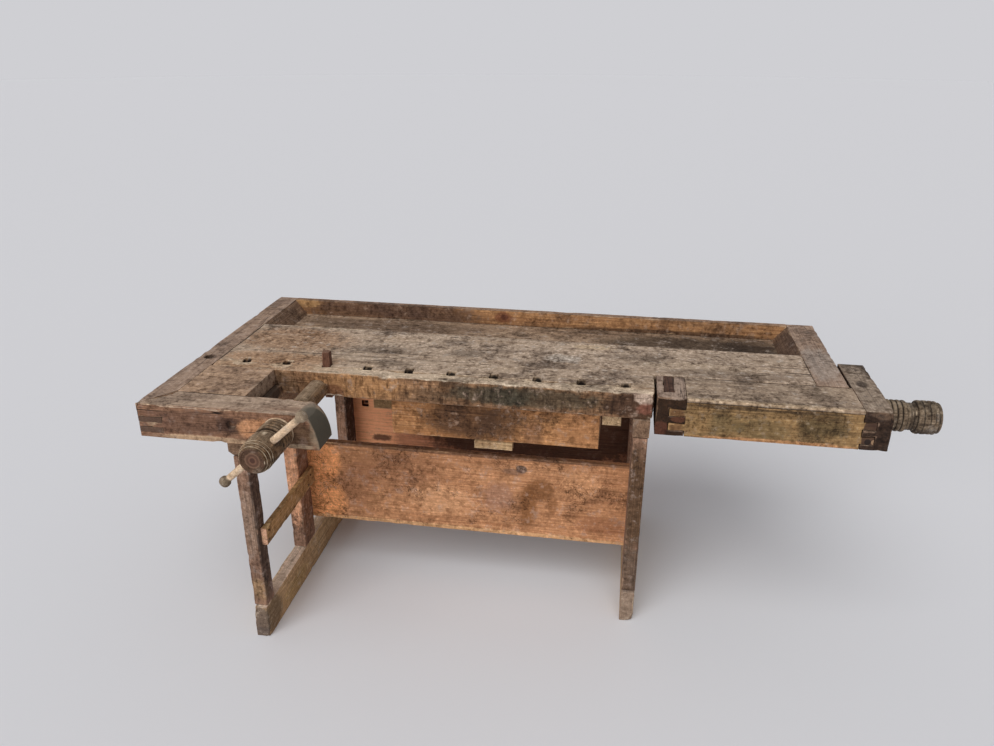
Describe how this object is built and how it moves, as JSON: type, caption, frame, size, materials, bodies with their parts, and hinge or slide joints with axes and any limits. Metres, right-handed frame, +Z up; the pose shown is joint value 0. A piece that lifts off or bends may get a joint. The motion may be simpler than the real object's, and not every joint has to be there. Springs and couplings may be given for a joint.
{
  "type": "woodworking bench",
  "caption": "Old joiner's bench with a shoulder vise, a sliding tail vise, dog holes, a tool tray and a hung drawer on two trestles.",
  "frame": {"origin": "on the floor, under the middle of the bench's outline", "axes": "+X along the bench towards the tail vise, +Y from the working side to the tool tray, +Z up"},
  "size_m": [2.2304, 1.159, 0.8682],
  "materials": {
    "slab_wood": "grey weathered bare beech",
    "cap_wood": "grey weathered bare beech",
    "tray_wood": "dark soiled bare board",
    "arm_wood": "worn bare beech",
    "screw_wood": "turned wood, soiled by hands",
    "pale_wood": "pale worn wood",
    "tail_wood": "yellow-tan worn wood",
    "dark_wood": "dark soiled hardwood",
    "leg_wood": "mottled worn wood",
    "foot_wood": "pale dusty wood",
    "pine": "orange bare pine, stained",
    "drawer_wood": "tan bare pine, stained",
    "iron": "dark dull iron"
  },
  "bodies": {
    "bench": {"slab_front_strip": "slab_wood", "slab_dog_plank": "slab_wood", "slab_rear_plank": "slab_wood", "left_end_cap": "cap_wood", "right_end_cap": "cap_wood", "left_cap_bolt_1": "iron", "left_cap_bolt_2": "iron", "right_cap_bolt_1": "iron", "right_cap_bolt_2": "iron", "tray_floor": "tray_wood", "tray_back_rail": "pine", "tray_ramp_left": "tray_wood", "tray_ramp_right": "tray_wood", "shoulder_vise_arm": "arm_wood", "shoulder_spacer": "slab_wood", "tail_guide_rail": "leg_wood", "tail_nut_block": "dark_wood", "left_foot": "foot_wood", "left_front_post": "leg_wood", "left_front_leg": "leg_wood", "left_rear_leg": "leg_wood", "left_bearer": "leg_wood", "right_foot": "foot_wood", "right_front_leg": "leg_wood", "right_rear_leg": "leg_wood", "right_bearer": "leg_wood", "side_rail": "tail_wood", "front_apron": "pine", "rear_apron": "pine", "apron_screw_front_left_low": "iron", "apron_screw_front_left_high": "iron", "apron_screw_front_right_low": "iron", "apron_screw_front_right_high": "iron", "apron_screw_rear_left_low": "iron", "apron_screw_rear_left_high": "iron", "apron_screw_rear_right_low": "iron", "apron_screw_rear_right_high": "iron", "drawer_runner_left": "tail_wood", "drawer_runner_right": "tail_wood"},
    "shoulder_washer": {"shoulder_washer": "screw_wood"},
    "shoulder_screw": {"shoulder_screw": "screw_wood"},
    "shoulder_bar": {"shoulder_bar": "pale_wood", "shoulder_bar_knob": "pale_wood"},
    "tail_vise": {"tail_jaw": "dark_wood", "tail_jaw_inset": "dark_wood", "tail_front_beam": "tail_wood", "tail_top_board": "slab_wood", "tail_keeper_batten": "leg_wood", "tail_end_block": "dark_wood", "tail_garter_key": "leg_wood"},
    "tail_screw": {"tail_screw": "screw_wood"},
    "drawer": {"drawer_front": "drawer_wood", "drawer_bottom": "drawer_wood", "drawer_side_left": "drawer_wood", "drawer_side_right": "drawer_wood", "drawer_back": "drawer_wood", "drawer_hanger_left": "tail_wood", "drawer_hanger_right": "tail_wood", "drawer_pull": "pale_wood"},
    "bench_dog": {"bench_dog": "dark_wood"}
  },
  "joints": [
    {"name": "shoulder_travel", "type": "slide", "parent": "bench", "child": "shoulder_washer", "axis": [0, -1, 0], "range_m": [0, 0.1601]},
    {"name": "shoulder_turn", "type": "hinge", "parent": "shoulder_washer", "child": "shoulder_screw", "pos_m": [-0.69725, -0.5, 0.745], "axis": [0, -1, 0], "range_deg": [0, 4800]},
    {"name": "bar_slide", "type": "slide", "parent": "shoulder_screw", "child": "shoulder_bar", "axis": [0.7431, 0, 0.6691], "range_m": [-0.096, 0.096]},
    {"name": "tail_travel", "type": "slide", "parent": "bench", "child": "tail_vise", "axis": [1, 0, 0], "range_m": [-0.0051, 0.2001]},
    {"name": "tail_turn", "type": "hinge", "parent": "tail_vise", "child": "tail_screw", "pos_m": [1.0055, -0.0285, 0.748], "axis": [1, 0, 0], "range_deg": [-150, 6000]},
    {"name": "drawer_slide", "type": "slide", "parent": "bench", "child": "drawer", "axis": [0, -1, 0], "range_m": [0, 0.26]},
    {"name": "dog_slide", "type": "slide", "parent": "bench", "child": "bench_dog", "axis": [0, 0, 1], "range_m": [-0.045, 0.05]}
  ],
  "couplings": [
    {"joint": "shoulder_travel", "follows": "shoulder_turn", "m_per_rad": 0.0019099},
    {"joint": "tail_travel", "follows": "tail_turn", "m_per_rad": 0.0019099}
  ]
}
